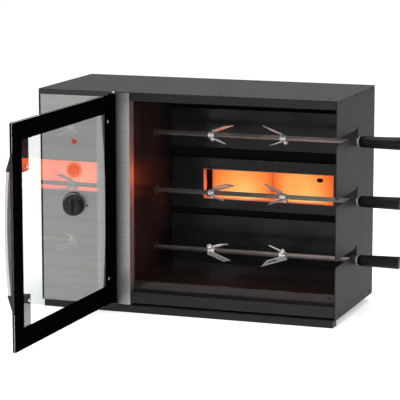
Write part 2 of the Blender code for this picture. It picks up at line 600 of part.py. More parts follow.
# ---------------------------------------------------------------- spits and forks
def build_spit(index):
    name, z, phase = SPIT_NAMES[index], SPIT_Z[index], BAR_PHASE[index]
    half_diagonal = BAR_SIDE / math.sqrt(2)
    profile = [(BAR_LEFT, 0.002), (BAR_LEFT + 0.006, half_diagonal), (BAR_RIGHT + 0.001, half_diagonal)]
    bar = lathe(f"spit_bar_{name}", profile, "X", (0, SPIT_Y, z), "chrome", 4,
                math.radians(45) + phase, False)
    collar, collar_end = RIGHT + 0.0025, HANDLE_START - GAP
    profile = [(BAR_RIGHT, JOURNAL_R), (collar, JOURNAL_R), (collar, COLLAR_R), (collar_end, COLLAR_R),
               (collar_end, TANG_R), (HANDLE_START + 0.038, TANG_R)]
    add(bar, lathe(f"spit_end_{name}_tool", profile, "X", (0, SPIT_Y, z)))
    start, end = HANDLE_START, HANDLE_END
    bore = TANG_R + GAP
    profile = [(start + 0.040, 0), (start + 0.040, bore), (start, bore), (start, 0.0085),
               (start + 0.003, 0.0100), (start + 0.012, 0.0112), (start + 0.040, 0.0120),
               (end - 0.004, 0.0136), (end - 0.003, 0.0130), (end, 0.0112), (end, 0)]
    lathe(f"spit_handle_{name}", profile, "X", (0, SPIT_Y, z), "handle_plastic", 28)


def prong_tools(name, start, length, slot, twist):
    """A flat prong along +X, pointed by a slanting cut and spread upwards, and the cutter of its slot."""
    half = PRONG_WIDTH / 2
    outline = [(start, -half), (length - PRONG_TIP, -half), (length, half), (start, half)]
    prong = prism(f"{name}_tool", outline, "Z", -PRONG_THICK / 2, PRONG_THICK / 2)
    near, far = slot
    outline = [(near, -SLOT_HALF), (far, -SLOT_HALF), (far, SLOT_HALF), (near, SLOT_HALF)]
    slot_cutter = prism(f"{name}_slot_cutter", outline, "Z", -PRONG_THICK, PRONG_THICK)
    root = FORK_HUB_R - 0.001 if start > 0 else FORK_HUB_R + 0.0006
    lift = Matrix.Translation((0, 0, root))
    for obj in (prong, slot_cutter):
        obj.data.transform(lift @ Matrix.Rotation(-PRONG_SPREAD, 4, "Y") @ Matrix.Rotation(twist, 4, "X"))
    return prong, slot_cutter


def build_fork(index, side):
    """Collar on the bar with a long and a short prong, held by a thumbscrew."""
    spit, z = SPIT_NAMES[index], SPIT_Z[index]
    name = f"fork_{spit}_{('left', 'right')[side]}"
    x = FORK_X[side]
    half = FORK_HUB_HALF
    hub = lathe(name, [(-half, FORK_HUB_R), (half, FORK_HUB_R)], "X", (0, 0, 0), "chrome", 20)
    facing = Matrix.Rotation(math.pi, 4, "Z") if side else Matrix.Identity(4)
    flip = Matrix.Rotation(math.pi, 4, "X")
    lean = Matrix.Rotation(FORK_LEAN[index], 4, "X")
    twist = PRONG_TWIST[index] * (-1 if side else 1)
    long_tools = prong_tools(f"{name}_long", PRONG_START[index], LONG_PRONG, LONG_SLOT, twist)
    short_tools = prong_tools(f"{name}_short", SCREW_X, SHORT_PRONG, SHORT_SLOT, 0.0)
    for tool in short_tools:
        tool.data.transform(flip)
    outer = SCREW_X if side else -SCREW_X
    screw_turn = Matrix.Rotation(SCREW_TURN[index], 4, "X")
    screw_hole = rod(f"{name}_screw_cutter", "Z", (0, 0, 0), 0, 0.02, SCREW_R + 0.0004, None, 12)
    profile = [(BAR_SIDE / 2 + 0.0004, SCREW_R), (FORK_HUB_R + 0.0022, SCREW_R),
               (FORK_HUB_R + 0.0022, 0.0040),
               (FORK_HUB_R + 0.0042, 0.0056), (FORK_HUB_R + 0.0080, 0.0058), (FORK_HUB_R + 0.0102, 0.0040),
               (FORK_HUB_R + 0.0108, 0)]
    screw = lathe(name.replace("fork", "thumbscrew"), profile, "Z", (0, 0, 0), "chrome", 16)
    half_diagonal = SOCKET_SIDE / math.sqrt(2)
    square = lathe(f"{name}_square_cutter", [(-0.03, half_diagonal), (0.03, half_diagonal)], "X",
                   (0, 0, 0), None, 4, math.radians(45) + BAR_PHASE[index], False)
    for prong, slot_cutter in (long_tools, short_tools):
        prong.data.transform(lean @ facing)
        slot_cutter.data.transform(lean @ facing)
        add(hub, prong)
    cut(hub, square)
    cut(hub, screw_hole)
    for slot_cutter in (long_tools[1], short_tools[1]):
        cut(hub, slot_cutter)
    for obj in (hub, *long_tools, *short_tools, square):
        obj.location = (x, SPIT_Y, z)
    for obj in (screw_hole, screw):
        obj.data.transform(screw_turn)
        obj.location = (x + outer, SPIT_Y, z)


# ---------------------------------------------------------------- door
def on_door(obj):
    """Pieces of the door are drawn shut, from the hinge axis, and swung open here."""
    obj.location = (*DOOR_AXIS, 0)
    obj.rotation_euler = (0, 0, -DOOR_OPEN)
    return obj


def build_door():
    radius = 0.004
    low, high = DOOR_LOW + radius, DOOR_HIGH - radius
    near, far = 0.0005 + radius, DOOR_WIDTH - radius
    corners = [((near, low), 180), ((far, low), 270), ((far, high), 0), ((near, high), 90)]
    outline = [p for centre, turn in corners for p in arc(centre, radius, turn, turn + 90, 4)]
    on_door(prism("door_glass", outline, "Y", -GLASS_OUT, -GLASS_IN, "door_glass"))

    inner, outer = GLASS_IN - GAP, GLASS_OUT + GAP
    outline = [(-0.0035, 0.0035), (-0.0030, -0.0055), (0, -outer - 0.0018), (0.030, -outer - 0.0018),
               (0.030, -outer), (0.0002, -outer), (0.0002, -inner), (0.006, -inner), (0.006, 0.0035)]
    profile = prism("door_hinge_strip", outline, "Z", DOOR_LOW, DOOR_HIGH - GAP, "dark_paint")
    strip = on_door(profile)
    for name, low, high in (("lower", EAR_LOW - 0.001, DOOR_LOW + 0.003),
                            ("upper", DOOR_HIGH - 0.003, BODY_TOP + 0.0012)):
        add(strip, on_door(rod(f"hinge_pin_{name}_tool", "Z", (0, 0, 0), low, high, HINGE_PIN_R, None, 16)))
    build_door_handle()


def handle_height(z, low=0.0380, bow=0.0055):
    """Distance of the handle bar's outer face from the hinge plane at a height."""
    share = (z - HANDLE_MID_Z) / CAP_NEAR
    return low + bow * (1 - share * share)


def build_door_handle():
    left, right = HANDLE_S - HANDLE_HALF, HANDLE_S + HANDLE_HALF
    steps = 16
    heights = [HANDLE_MID_Z - CAP_NEAR + GAP + 2 * (CAP_NEAR - GAP) * k / steps for k in range(steps + 1)]
    outer = [(-handle_height(z), z) for z in heights]
    inner = [(-handle_height(z) + 0.006, z) for z in reversed(heights)]
    bar = prism("door_handle_bar", outer + inner, "X", left, right, "brushed_steel")
    on_door(bar)
    foot = -(GLASS_OUT + GAP)
    for name, way in (("upper", 1), ("lower", -1)):
        near, far = HANDLE_MID_Z + way * CAP_NEAR, HANDLE_MID_Z + way * CAP_FAR
        top = -handle_height(HANDLE_MID_Z + way * CAP_NEAR) - 0.0012
        outline = [(foot, near), (top, near), (foot - 0.012, far - way * 0.020), (foot - 0.004, far),
                   (foot, far)]
        cap = prism(f"handle_cap_{name}", outline, "X", -CAP_HALF, CAP_HALF, "black_plastic")
        for vertex in cap.data.vertices:
            share = (foot - vertex.co.y) / (foot - top)
            vertex.co.x = HANDLE_S + vertex.co.x * (1 - (1 - CAP_TOP_SHARE) * share)
        on_door(cap)


def main():
    for obj in list(bpy.data.objects):
        bpy.data.objects.remove(obj, do_unlink=True)
    build_base()
    build_left_panel()
    build_right_panel()
    build_rear_panel()
    build_top_cover()
    build_control_panel()
    build_hinge_post()
    build_sill()
    build_divider()
    build_ceiling()
    build_floor()
    build_rear_liner()
    build_tray()
    build_burner()
    build_gas_line()
    build_gland()
    build_controls()
    build_drive()
    build_motor()
    for index in range(len(SPIT_NAMES)):
        build_spit(index)
        for side in (0, 1):
            build_fork(index, side)
    build_door()


main()
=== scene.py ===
"""Looks of the rotisserie oven: finishes, printed marks, fasteners and light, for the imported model.

Metres, +Z up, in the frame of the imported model. Every added piece is placed from the boxes of the
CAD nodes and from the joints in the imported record, and rides on the body that carries it.
"""
import json
import math

import bmesh
import bpy
from mathutils import Matrix, Vector


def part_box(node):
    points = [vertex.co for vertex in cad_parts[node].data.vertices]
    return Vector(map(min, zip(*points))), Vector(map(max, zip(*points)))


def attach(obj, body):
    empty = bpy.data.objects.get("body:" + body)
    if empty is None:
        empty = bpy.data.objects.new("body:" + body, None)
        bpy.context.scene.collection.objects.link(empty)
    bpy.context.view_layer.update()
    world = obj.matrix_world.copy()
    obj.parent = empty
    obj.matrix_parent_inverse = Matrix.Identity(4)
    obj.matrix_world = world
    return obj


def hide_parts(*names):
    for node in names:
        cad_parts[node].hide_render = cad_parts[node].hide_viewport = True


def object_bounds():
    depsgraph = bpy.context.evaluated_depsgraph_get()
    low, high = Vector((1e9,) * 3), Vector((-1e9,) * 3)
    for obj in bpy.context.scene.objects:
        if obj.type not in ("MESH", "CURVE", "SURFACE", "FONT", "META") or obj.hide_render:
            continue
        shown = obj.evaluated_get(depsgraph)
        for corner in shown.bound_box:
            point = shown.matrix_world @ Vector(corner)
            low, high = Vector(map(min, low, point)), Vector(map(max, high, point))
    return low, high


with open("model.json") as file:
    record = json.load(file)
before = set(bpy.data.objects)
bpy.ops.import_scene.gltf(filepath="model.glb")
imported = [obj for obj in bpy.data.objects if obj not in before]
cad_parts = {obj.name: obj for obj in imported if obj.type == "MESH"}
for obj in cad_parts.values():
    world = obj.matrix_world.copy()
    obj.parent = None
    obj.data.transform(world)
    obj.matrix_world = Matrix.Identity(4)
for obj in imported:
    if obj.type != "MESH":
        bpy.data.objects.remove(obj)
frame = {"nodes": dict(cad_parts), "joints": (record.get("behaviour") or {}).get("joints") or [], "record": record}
cad_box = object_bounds()

SPITS = ("bottom", "middle", "top")
SIDES = ("left", "right")
JOINTS = {joint["name"]: joint for joint in frame["joints"]}
SHARP = math.radians(35)         # edges above this angle stay sharp, or get a bevel
MIRRORED_GLOW = 2.6              # radiance of the burner's red heat, as mirrored in the pane
ROOM_GLOW = 1.1                  # as it falls on the walls round it
INSIDE_GLOW = 14.0               # and on the sides of the burner's own window
OVERHEAD_WATTS, FRONT_WATTS, POST_WATTS = 50, 30, 0.075
FLOOR_GLOW = 0.44                # keeps the floor white under and round the oven
WORLD_LOW, WORLD_HIGH, WORLD_STRENGTH = 0.45, 1.0, 0.7
HAIR = 0.00005                   # how far a printed mark lies off the face that carries it
PRINT = 0.0001                   # its thickness

SHELL_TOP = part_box("top_cover")[1].z
FACE_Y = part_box("control_panel")[0].y
BACK_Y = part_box("rear_panel")[1].y
SIDE_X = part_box("right_side_panel")[1].x

HINGE = Vector(JOINTS["door_hinge"]["pos_m"])
# the joint's axis points down, so its angle for shut is also the turn about +Z that opens the door
DOOR_TURN = math.radians(JOINTS["door_hinge"]["range_deg"][0])
DOOR_PLACE = Matrix.Translation((HINGE.x, HINGE.y, 0)) @ Matrix.Rotation(DOOR_TURN, 4, "Z")


# ---------------------------------------------------------------- finishes
class Surface:
    """A Principled material with the few kinds of node that the finishes are made of."""

    def __init__(self, name, colour, metallic=0.0, roughness=0.5):
        self.material = bpy.data.materials.new(f"look_{name}")
        self.material.use_nodes = True
        self.tree = self.material.node_tree
        self.shader = self.tree.nodes["Principled BSDF"]
        self.set("Base Color", (*colour, 1.0))
        self.set("Metallic", metallic)
        self.set("Roughness", roughness)
        self.place = self.node("ShaderNodeTexCoord").outputs["Object"]

    def node(self, kind, **settings):
        made = self.tree.nodes.new(kind)
        for key, value in settings.items():
            setattr(made, key, value)
        return made

    def link(self, source, target):
        self.tree.links.new(source, target)

    def set(self, socket, value):
        self.shader.inputs[socket].default_value = value

    def stretched(self, stretch):
        """The place on the piece, scaled by a different amount along each axis."""
        mapping = self.node("ShaderNodeMapping")
        mapping.inputs["Scale"].default_value = stretch
        self.link(self.place, mapping.inputs["Vector"])
        return mapping.outputs["Vector"]

    def noise(self, scale, detail=2.0, stretch=(1, 1, 1)):
        made = self.node("ShaderNodeTexNoise")
        made.inputs["Scale"].default_value = scale
        made.inputs["Detail"].default_value = detail
        self.link(self.stretched(stretch), made.inputs["Vector"])
        return made.outputs["Fac"]

    def cells(self, scale):
        made = self.node("ShaderNodeTexVoronoi")
        made.inputs["Scale"].default_value = scale
        self.link(self.place, made.inputs["Vector"])
        return made.outputs["Color"]

    def ranged(self, value, low, high, into_low=0.0, into_high=1.0):
        made = self.node("ShaderNodeMapRange")
        for socket, number in (("From Min", low), ("From Max", high),
                               ("To Min", into_low), ("To Max", into_high)):
            made.inputs[socket].default_value = number
        self.link(value, made.inputs["Value"])
        return made.outputs["Result"]

    def ramp(self, value, *stops):
        made = self.node("ShaderNodeValToRGB")
        points = made.color_ramp.elements
        while len(points) < len(stops):
            points.new(0.5)
        for point, (place, colour) in zip(points, stops):
            point.position = place
            point.color = (*colour, 1.0)
        self.link(value, made.inputs["Fac"])
        return made.outputs["Color"]

    def axes(self):
        """The place on the piece as separate X, Y and Z."""
        made = self.node("ShaderNodeSeparateXYZ")
        self.link(self.place, made.inputs["Vector"])
        return made.outputs

    def mix_base(self, factor, colour, blend_type="MIX"):
        """Mixes a colour into the base colour; both may be a value or the output of a node."""
        base = self.shader.inputs["Base Color"]
        made = self.node("ShaderNodeMix", data_type="RGBA", blend_type=blend_type)
        for socket, value in (("Factor", factor), ("B", colour)):
            if isinstance(value, bpy.types.NodeSocket):
                self.link(value, made.inputs[socket])
            else:
                made.inputs[socket].default_value = value
        self.link(base.links[0].from_socket, made.inputs["A"])
        self.link(made.outputs["Result"], base)

    def math(self, operation, first, second=None):
        made = self.node("ShaderNodeMath", operation=operation)
        for socket, value in zip(made.inputs, (first, second)):
            if isinstance(value, (int, float)):
                socket.default_value = value
            elif value is not None:
                self.link(value, socket)
        return made.outputs["Value"]

    def colour_from(self, value, *stops):
        self.link(self.ramp(value, *stops), self.shader.inputs["Base Color"])

    def roughness_from(self, value, low, high):
        self.link(self.ranged(value, 0.3, 0.7, low, high), self.shader.inputs["Roughness"])

    def bump_from(self, value, strength, distance):
        made = self.node("ShaderNodeBump")
        made.inputs["Strength"].default_value = strength
        made.inputs["Distance"].default_value = distance
        self.link(value, made.inputs["Height"])
        self.link(made.outputs["Normal"], self.shader.inputs["Normal"])


def scaled(colour, share):
    """The colour made lighter or darker, within white."""
    return tuple(min(1.0, part * share) for part in colour)


def powder_coat(name, colour, roughness, gloss, grain=1500.0):
    """Baked powder paint: fine orange peel, faint patches, and edges made lighter, partly as wear and partly as a
    painted highlight.
    """
    surface = Surface(name, colour, 0.0, roughness)
    surface.set("Specular IOR Level", gloss)
    patches = surface.noise(7.0, 4.0)
    fine = surface.noise(grain, 2.0)
    rounded = surface.node("ShaderNodeBevel", samples=4)
    rounded.inputs["Radius"].default_value = 0.0012
    flat = surface.node("ShaderNodeNewGeometry")
    facing = surface.node("ShaderNodeVectorMath", operation="DOT_PRODUCT")
    surface.link(rounded.outputs["Normal"], facing.inputs[0])
    surface.link(flat.outputs["Normal"], facing.inputs[1])
    # edges lighter: partly wear, partly a painted highlight where light catches the folds
    wear_and_edge_highlight = surface.ranged(facing.outputs["Value"], 0.995, 0.80)
    surface.colour_from(patches, (0.25, scaled(colour, 0.88)), (0.75, scaled(colour, 1.12)))
    surface.mix_base(wear_and_edge_highlight, (*scaled(colour, 1.7), 1.0))
    surface.roughness_from(fine, roughness - 0.06, roughness + 0.08)
    surface.bump_from(fine, 0.10, 0.0002)
    return surface.material


def stretch_along(letter, fine, coarse):
    """Scales for a noise that runs in lines along one axis."""
    stretch = [fine] * 3
    stretch["XYZ".index(letter)] = coarse
    return stretch


def brushed(name, colour, roughness, along, metallic=1.0):
    """Metal with fine lines brushed along one axis."""
    stretch = stretch_along(along, 1300.0, 9.0)
    surface = Surface(name, colour, metallic, roughness)
    lines = surface.noise(1.0, 3.0, stretch)
    bands = surface.noise(1.0, 2.0, [value * 0.12 for value in stretch])
    both = surface.math("ADD", surface.math("MULTIPLY", lines, 0.65),
                        surface.math("MULTIPLY", bands, 0.35))
    surface.colour_from(both, (0.30, scaled(colour, 0.84)), (0.70, scaled(colour, 1.14)))
    surface.roughness_from(both, roughness - 0.05, roughness + 0.09)
    surface.bump_from(lines, 0.16, 0.00012)
    return surface


def shaded_post(name, colour, roughness):
    """Brushed metal with painted shade, darkest towards the hinge where the door's edge shades it."""
    surface = brushed(name, colour, roughness, "X", 0.7)
    low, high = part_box("hinge_post")
    across = surface.ranged(surface.axes()["X"], low.x + 0.004, high.x - 0.002)
    # painted shade of the door: near black at the hinge side, full colour at the outer edge
    shade = surface.ramp(across, (0.0, (0.06, 0.057, 0.055)), (0.40, (0.45, 0.445, 0.44)),
                         (1.0, (1, 1, 1)))
    surface.mix_base(1.0, shade, "MULTIPLY")
    return surface.material


def enamel(name, colour, roughness, gloss=0.16):
    """Fired gloss enamel: a slow wave in the surface and a soft haze."""
    surface = Surface(name, colour, 0.0, roughness)
    surface.set("Specular IOR Level", gloss)
    wave = surface.noise(38.0, 2.0)
    haze = surface.noise(11.0, 4.0)
    surface.colour_from(haze, (0.3, scaled(colour, 0.8)), (0.7, scaled(colour, 1.25)))
    surface.roughness_from(haze, roughness * 0.7, roughness * 1.5)
    surface.bump_from(wave, 0.05, 0.002)
    return surface


def enamel_with_recess_shade(name, colour, roughness):
    """The same enamel, matt and near black where the liner's bands step back: painted shade in the recesses."""
    surface = enamel(name, colour, roughness)
    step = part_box("rear_liner")[0].y
    deep = surface.ranged(surface.axes()["Y"], step + 0.0015, step + 0.0030)
    # painted shade: near black deep in the stepped-back bands
    surface.mix_base(deep, (0.0022, 0.0016, 0.0015, 1.0))
    rough = surface.shader.inputs["Roughness"]
    matt = surface.ranged(deep, 0, 1, 0, 0.95)
    surface.link(surface.math("MAXIMUM", rough.links[0].from_socket, matt), rough)
    return surface.material


def plated(name, colour, roughness):
    """Bright plating with fine drawn lines and a few duller patches."""
    surface = Surface(name, colour, 1.0, roughness)
    drawn = surface.noise(1.0, 2.0, stretch_along("X", 900.0, 25.0))
    dull = surface.noise(45.0, 3.0)
    surface.colour_from(dull, (0.3, scaled(colour, 0.86)), (0.7, scaled(colour, 1.06)))
    surface.roughness_from(dull, roughness * 0.7, roughness * 1.5)
    surface.bump_from(drawn, 0.06, 0.0001)
    return surface.material


def zinc(name, colour, roughness):
    """Zinc coat with its crystal spangle."""
    surface = Surface(name, colour, 1.0, roughness)
    spangle = surface.node("ShaderNodeSeparateColor")
    surface.link(surface.cells(95.0), spangle.inputs["Color"])
    value = spangle.outputs["Red"]
    surface.colour_from(value, (0.0, scaled(colour, 0.78)), (1.0, scaled(colour, 1.22)))
    surface.link(surface.ranged(value, 0.0, 1.0, roughness - 0.1, roughness + 0.1),
                 surface.shader.inputs["Roughness"])
    return surface.material


def satin(name, colour, roughness, metallic):
    """Ground and tumbled steel, a little cloudy, that takes light from all round."""
    surface = Surface(name, colour, metallic, roughness)
    cloud = surface.noise(60.0, 3.0)
    ground = surface.noise(1.0, 2.0, (40.0, 1100.0, 1100.0))
    surface.colour_from(cloud, (0.3, scaled(colour, 0.82)), (0.7, scaled(colour, 1.10)))
    surface.roughness_from(cloud, roughness - 0.06, roughness + 0.08)
    surface.bump_from(ground, 0.10, 0.0001)
    return surface


def bar_darkened_inward(name, colour, roughness, metallic):
    """Bar steel, darker towards the driven end that stays in the oven."""
    surface = satin(name, colour, roughness, metallic)
    low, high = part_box("spit_bar_middle")
    along = surface.ranged(surface.axes()["X"], low.x, high.x)
    # the colour darkens towards the bar's inner end, inside the oven
    shade = surface.ramp(along, (0.0, (0.22, 0.20, 0.19)), (0.45, (0.55, 0.53, 0.52)),
                         (0.75, (1, 1, 1)))
    surface.mix_base(1.0, shade, "MULTIPLY")
    return surface.material


def scorched(name, colour, roughness):
    """Steel that the burner has heated and dulled, with brown tints over grey."""
    surface = Surface(name, colour, 0.35, roughness)
    tint = surface.noise(26.0, 4.0)
    surface.colour_from(tint, (0.25, scaled(colour, 0.5)), (0.5, colour),
                        (0.75, scaled(colour, 1.7)))
    surface.roughness_from(tint, roughness, roughness + 0.2)
    surface.bump_from(surface.noise(700.0), 0.08, 0.0002)
    return surface.material


def moulded(name, colour, roughness, grain=1900.0, gloss=0.4):
    """Plastic or rubber from a grained mould."""
    surface = Surface(name, colour, 0.0, roughness)
    surface.set("Specular IOR Level", gloss)
    fine = surface.noise(grain, 2.0)
    wide = surface.noise(30.0, 3.0)
    surface.colour_from(wide, (0.3, scaled(colour, 0.85)), (0.7, scaled(colour, 1.2)))
    surface.roughness_from(fine, roughness - 0.05, roughness + 0.08)
    surface.bump_from(fine, 0.14, 0.00015)
    return surface.material


def glowing_ceramic(name):
    """Burner tile at work: a diagonal grid of fine flame ports, hotter in the tile's lower middle."""
    surface = Surface(name, (0.10, 0.035, 0.015), 0.0, 0.9)
    pitch = 0.0050
    axes = surface.axes()
    x, z = axes["X"], axes["Z"]
    waves = [surface.math("SINE", surface.math("MULTIPLY", along_axis, math.tau / pitch))
             for along_axis in (x, z)]
    ports = surface.math("MULTIPLY", waves[0], waves[1])
    low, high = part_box("ceramic_tile_left")
    length = high.x - low.x
    along = surface.math("ABSOLUTE", surface.math("SINE", surface.math(
        "MULTIPLY", surface.math("SUBTRACT", x, low.x), math.pi / length)))
    up = surface.math("DIVIDE", surface.math("SUBTRACT", z, low.z), high.z - low.z)
    arch = surface.math("MULTIPLY", surface.math("POWER", along, 0.5),
                        surface.math("SUBTRACT", 1.15, surface.math("MULTIPLY", up, 0.45)))
    patches = surface.math("MULTIPLY", surface.noise(24.0, 3.0), 0.35)
    heat = surface.math("ADD", surface.math("ADD", surface.math("MULTIPLY", arch, 0.62), patches),
                        surface.math("MULTIPLY", ports, 0.30))
    glow = surface.ramp(heat, (0.10, (0.45, 0.035, 0.006)), (0.40, (0.92, 0.15, 0.020)),
                        (0.68, (1.0, 0.34, 0.05)), (1.0, (1.0, 0.72, 0.26)))
    surface.link(glow, surface.shader.inputs["Emission Color"])
    surface.set("Emission Strength", 1.0)
    surface.bump_from(ports, 0.5, 0.0006)
    return surface.material


def hot_rod(name):
    """Electrode tip in the flame, glowing unevenly."""
    surface = Surface(name, (0.25, 0.08, 0.04), 0.0, 0.6)
    glow = surface.ramp(surface.noise(160.0, 3.0), (0.3, (0.95, 0.20, 0.03)),
                        (0.7, (1.0, 0.34, 0.06)))
    surface.link(glow, surface.shader.inputs["Emission Color"])
    surface.set("Emission Strength", 0.9)
    return surface.material


def clear_glass(name):
    """Tempered pane. Rays from lamps pass straight through, as they do through a flat pane."""
    surface = Surface(name, (0.93, 0.965, 0.955), 0.0, 0.0)
    surface.set("Transmission Weight", 1.0)
    surface.set("IOR", 1.46)
    clear = surface.node("ShaderNodeBsdfTransparent")
    clear.inputs["Color"].default_value = (0.90, 0.93, 0.92, 1.0)
    path = surface.node("ShaderNodeLightPath")
    mix = surface.node("ShaderNodeMixShader")
    surface.link(path.outputs["Is Shadow Ray"], mix.inputs["Fac"])
    surface.link(surface.shader.outputs["BSDF"], mix.inputs[1])
    surface.link(clear.outputs["BSDF"], mix.inputs[2])
    surface.link(mix.outputs["Shader"], surface.tree.nodes["Material Output"].inputs["Surface"])
    return surface.material


def red_lens(name):
    """Faceted red lens of the pilot lamp, faintly lit."""
    surface = Surface(name, (0.50, 0.012, 0.010), 0.0, 0.12)
    surface.set("Coat Weight", 0.6)
    facets = surface.noise(500.0)
    surface.colour_from(facets, (0.3, (0.36, 0.008, 0.008)), (0.7, (0.62, 0.02, 0.014)))
    surface.set("Emission Color", (0.8, 0.02, 0.01, 1.0))
    surface.set("Emission Strength", 0.12)
    return surface.material


PAINT = (0.007, 0.007, 0.0074)
STEEL = (0.33, 0.325, 0.315)
LOOKS = {
    "dark_paint": powder_coat("dark_paint", PAINT, 0.46, 0.24),
    # The top and the sides take lighter copies of the same dark paint: painted light, for how the light falls on
    # them.
    "top_paint_painted_light": powder_coat("top_paint_painted_light", scaled(PAINT, 2.3), 0.44, 0.36),
    "side_paint_painted_light": powder_coat("side_paint_painted_light", scaled(PAINT, 1.65), 0.52, 0.15),
    "black_enamel": enamel("black_enamel", (0.014, 0.013, 0.013), 0.20).material,
    "wall_enamel": enamel("wall_enamel", (0.013, 0.011, 0.011), 0.26, 0.05).material,
    "tray_enamel": enamel("tray_enamel", (0.017, 0.012, 0.011), 0.14, 0.24).material,
    "enamel_recess_shade": enamel_with_recess_shade("enamel_recess_shade", (0.010, 0.010, 0.011), 0.20),
    "brushed_steel": brushed("brushed_steel", STEEL, 0.36, "X").material,
    "post_steel": shaded_post("post_steel", (0.31, 0.304, 0.296), 0.36),
    "handle_steel": brushed("handle_steel", (0.50, 0.495, 0.485), 0.28, "Z").material,
    "galvanised": zinc("galvanised", (0.42, 0.43, 0.44), 0.45),
    "burner_steel": scorched("burner_steel", (0.24, 0.15, 0.12), 0.50),
    "chrome": plated("chrome", (0.74, 0.74, 0.75), 0.17),
    "black_plastic": moulded("black_plastic", (0.010, 0.010, 0.011), 0.36, 1900.0, 0.3),
    "bar_steel": bar_darkened_inward("bar_steel", (0.42, 0.395, 0.375), 0.40, 0.45),
    # lit and shaded copies of one fork steel: the darker copy is painted shade for the upper spits' forks
    "fork_steel": satin("fork_steel", (0.96, 0.96, 0.96), 0.28, 0.50).material,
    "fork_steel_shaded": satin("fork_steel_shaded", (0.55, 0.55, 0.55), 0.32, 0.50).material,
    "oiled_steel": satin("oiled_steel", (0.030, 0.029, 0.028), 0.45, 0.3).material,
    "handle_plastic": moulded("handle_plastic", (0.004, 0.004, 0.004), 0.30, 1200.0, 0.16),
    "rubber": moulded("rubber", (0.022, 0.022, 0.022), 0.75, 1100.0),
    "brass": plated("brass", (0.62, 0.44, 0.18), 0.28),
    "ceramic": glowing_ceramic("ceramic"),
    "porcelain": moulded("porcelain", (0.62, 0.60, 0.55), 0.22, 300.0),
    "door_glass": clear_glass("door_glass"),
    "print": moulded("print", (0.0012, 0.0012, 0.0012), 0.2, 900.0, 0.0),
    "grey_plastic": moulded("grey_plastic", (0.10, 0.10, 0.10), 0.34),
    # near black: painted shade, so the burner body seen in the gap beside the tile reads dark
    "burner_gap_shade": moulded("burner_gap_shade", (0.004, 0.003, 0.003), 0.8, 500.0, 0.1),
    "hot_rod": hot_rod("hot_rod"),
    "red_lens": red_lens("red_lens"),
    "nylon": moulded("nylon", (0.66, 0.64, 0.57), 0.42, 700.0),
}


# ---------------------------------------------------------------- the CAD nodes' finish
BEVELS = {
    "dark_paint": 0.0005, "brushed_steel": 0.0004, "black_enamel": 0.0004, "galvanised": 0.0003,
    "chrome": 0.0003, "black_plastic": 0.0006, "door_glass": 0.0005, "rubber": 0.0008,
}
NO_BEVEL = {"hinge_post", "cable_gland"} | {f"spit_bar_{spit}" for spit in SPITS}
NODE_LOOK = {
    # the door's hinge strip is near black: partly its own dark finish, partly painted shade of the door beside the
    # post
    "door_handle_bar": "handle_steel", "door_hinge_strip": "print", "hinge_post": "post_steel",
    # the rear liner's enamel carries painted shade in its recessed bands
    "rear_liner": "enamel_recess_shade", "divider_wall": "wall_enamel",
    "cavity_floor": "tray_enamel", "drip_tray": "tray_enamel",
    # top and side panels: lighter copies of the dark paint, as painted light
    "top_cover": "top_paint_painted_light", "right_side_panel": "side_paint_painted_light", "left_side_panel": "side_paint_painted_light",
    # the base plate takes the dark paint as painted shade, so the gap between sill and plinth reads dark
    "base_plate": "dark_paint", "burner_body": "burner_gap_shade", "igniter_body": "grey_plastic",
    "ignition_electrode": "hot_rod", "idler_gear_lower": "oiled_steel",
    "idler_gear_upper": "oiled_steel",
}
for spit in SPITS:
    NODE_LOOK[f"drive_gear_{spit}"] = "oiled_steel"
    NODE_LOOK[f"spit_bar_{spit}"] = "bar_steel"
    for side in SIDES:
        for node in (f"fork_{spit}_{side}", f"thumbscrew_{spit}_{side}"):
            # the upper two spits' forks take the darker copy of the steel as painted shade
            NODE_LOOK[node] = "fork_steel" if spit == "bottom" else "fork_steel_shaded"
NODE_BEVEL = {"handle_cap_upper": 0.0022, "handle_cap_lower": 0.0022, "door_handle_bar": 0.0015}


def dress_node(name, look, bevel):
    """Gives a CAD node its finish, smooth round sides and softly broken edges, by modifiers only."""
    node = frame["nodes"][name]
    mesh = node.data
    for attribute in ("custom_normal", "sharp_edge", "sharp_face"):
        if attribute in mesh.attributes:
            mesh.attributes.remove(mesh.attributes[attribute])
    mesh.polygons.foreach_set("use_smooth", [True] * len(mesh.polygons))
    mesh.materials.clear()
    mesh.materials.append(LOOKS[look])
    weld = node.modifiers.new("weld", "WELD")
    weld.merge_threshold = 0.00001
    if bevel:
        edges = node.modifiers.new("edges", "BEVEL")
        edges.width = bevel
        edges.segments = 2
        edges.limit_method = "ANGLE"
        edges.angle_limit = SHARP
        edges.harden_normals = True
    else:
        split = node.modifiers.new("split", "EDGE_SPLIT")
        split.split_angle = SHARP


def dress_nodes():
    for row in frame["record"]["subparts"]:
        name, slot = row["node"], row["material_slot"]
        bevel = NODE_BEVEL.get(name, 0.0 if name in NO_BEVEL else BEVELS.get(slot, 0.0))
        dress_node(name, NODE_LOOK.get(name, slot), bevel)


# ---------------------------------------------------------------- shapes
def mesh_from(name, bm):
    mesh = bpy.data.meshes.new(name)
    bm.to_mesh(mesh)
    bm.free()
    return mesh


def link_object(name, data):
    obj = bpy.data.objects.new(name, data)
    bpy.context.scene.collection.objects.link(obj)
    return obj


def box_bmesh(centre, size, turn=0.0):
    """A box about a centre, which is then turned about the vertical line through the origin."""
    bm = bmesh.new()
    bmesh.ops.create_cube(bm, size=1.0)
    bmesh.ops.scale(bm, vec=size, verts=bm.verts)
    bmesh.ops.translate(bm, vec=centre, verts=bm.verts)
    bmesh.ops.rotate(bm, matrix=Matrix.Rotation(turn, 3, "Z"), verts=bm.verts)
    return bm


